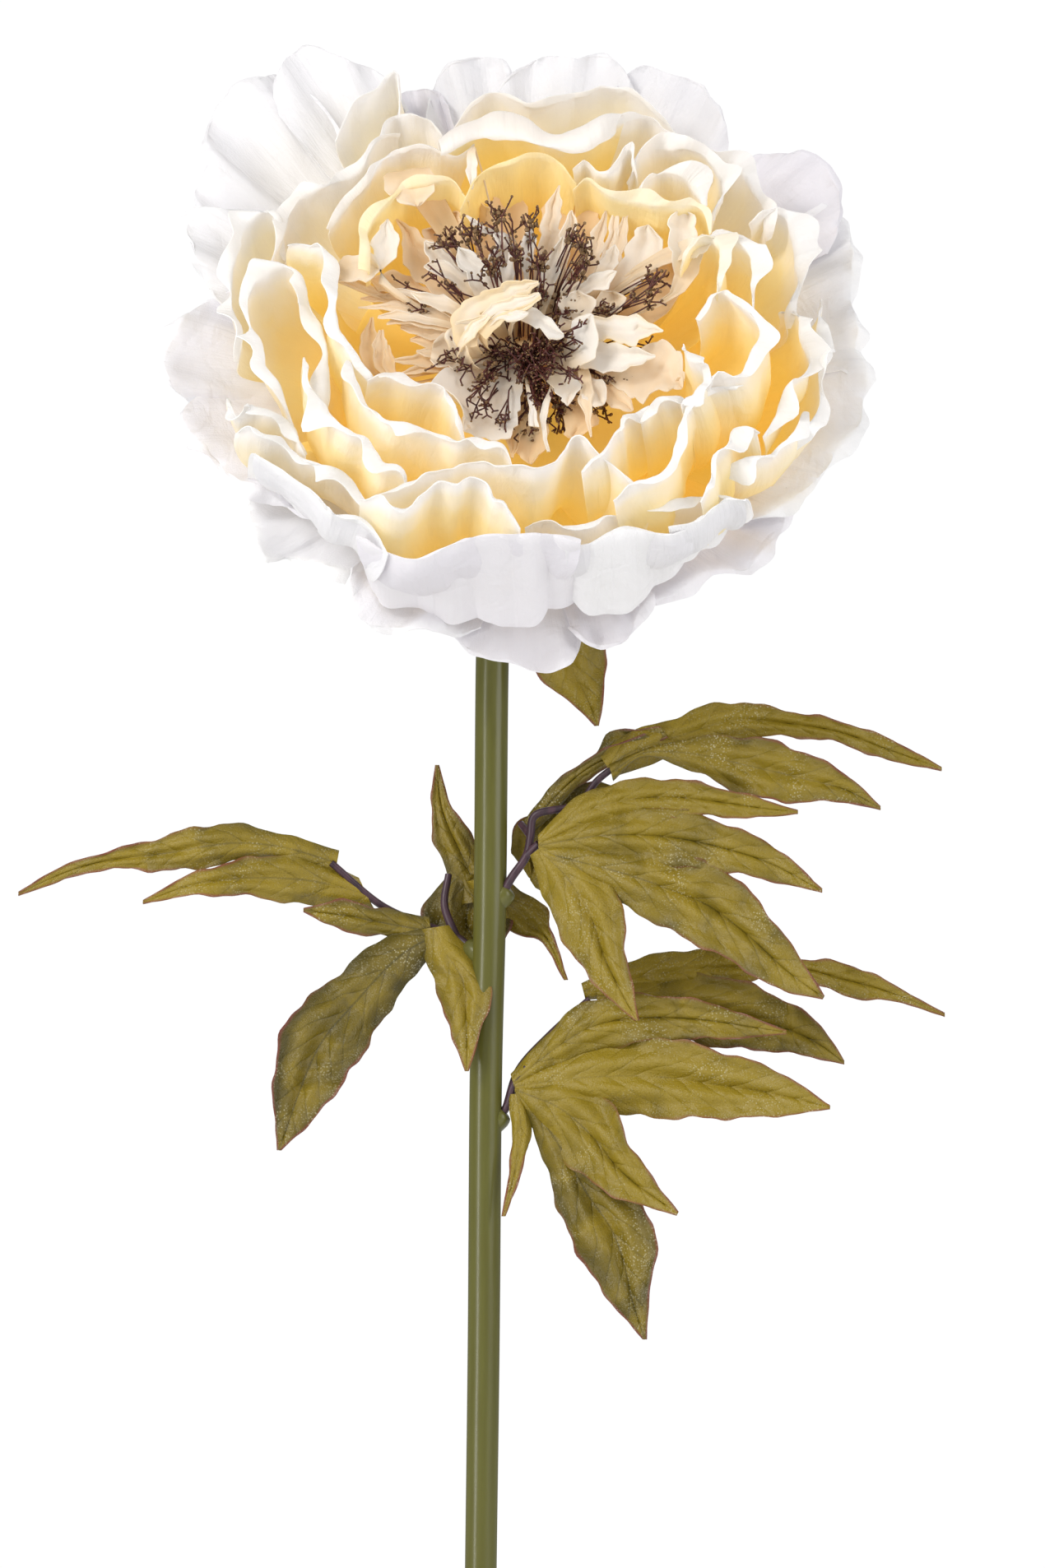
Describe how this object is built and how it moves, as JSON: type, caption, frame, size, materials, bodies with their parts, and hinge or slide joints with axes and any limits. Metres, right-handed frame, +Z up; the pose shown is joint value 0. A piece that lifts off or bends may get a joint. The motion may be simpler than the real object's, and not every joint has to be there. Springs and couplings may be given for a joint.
{
  "type": "peony in a bud vase",
  "caption": "Open double peony on a long leafy stem, standing in a plain bottle-shaped bud vase; a dry table decoration.",
  "frame": {"origin": "centre of the vase's flat foot, on the table", "axes": "+Z up the vase, +Y away from the side the bloom faces, +X to the bloom's right as seen from the front"},
  "size_m": [0.2372, 0.1132, 0.6041],
  "materials": {
    "vase_glaze": "satin warm white glaze",
    "stem_green": "satin moulded plastic",
    "leaf_olive": "pressed fabric with raised veins",
    "petal_white": "soft woven fabric, white rims and yellow bases",
    "petaloid_peach": "soft woven fabric",
    "stamen_brown": "moulded plastic with gold specks",
    "petiole_plum": "moulded plastic"
  },
  "bodies": {
    "root": {"bud_vase": "vase_glaze", "stem": "stem_green", "calyx": "leaf_olive", "bloom_petals": "petal_white", "petaloids": "petaloid_peach", "stamens": "stamen_brown", "petiole_left": "petiole_plum", "petiole_upper_right": "petiole_plum", "petiole_lower_right": "petiole_plum", "leaf_left_long": "leaf_olive", "leaf_left_low": "leaf_olive", "leaf_behind": "leaf_olive", "leaf_upper_long": "leaf_olive", "leaf_upper_broad": "leaf_olive", "leaf_upper_back": "leaf_olive", "leaf_lower_broad": "leaf_olive", "leaf_lower_back": "leaf_olive"}
  },
  "joints": []
}
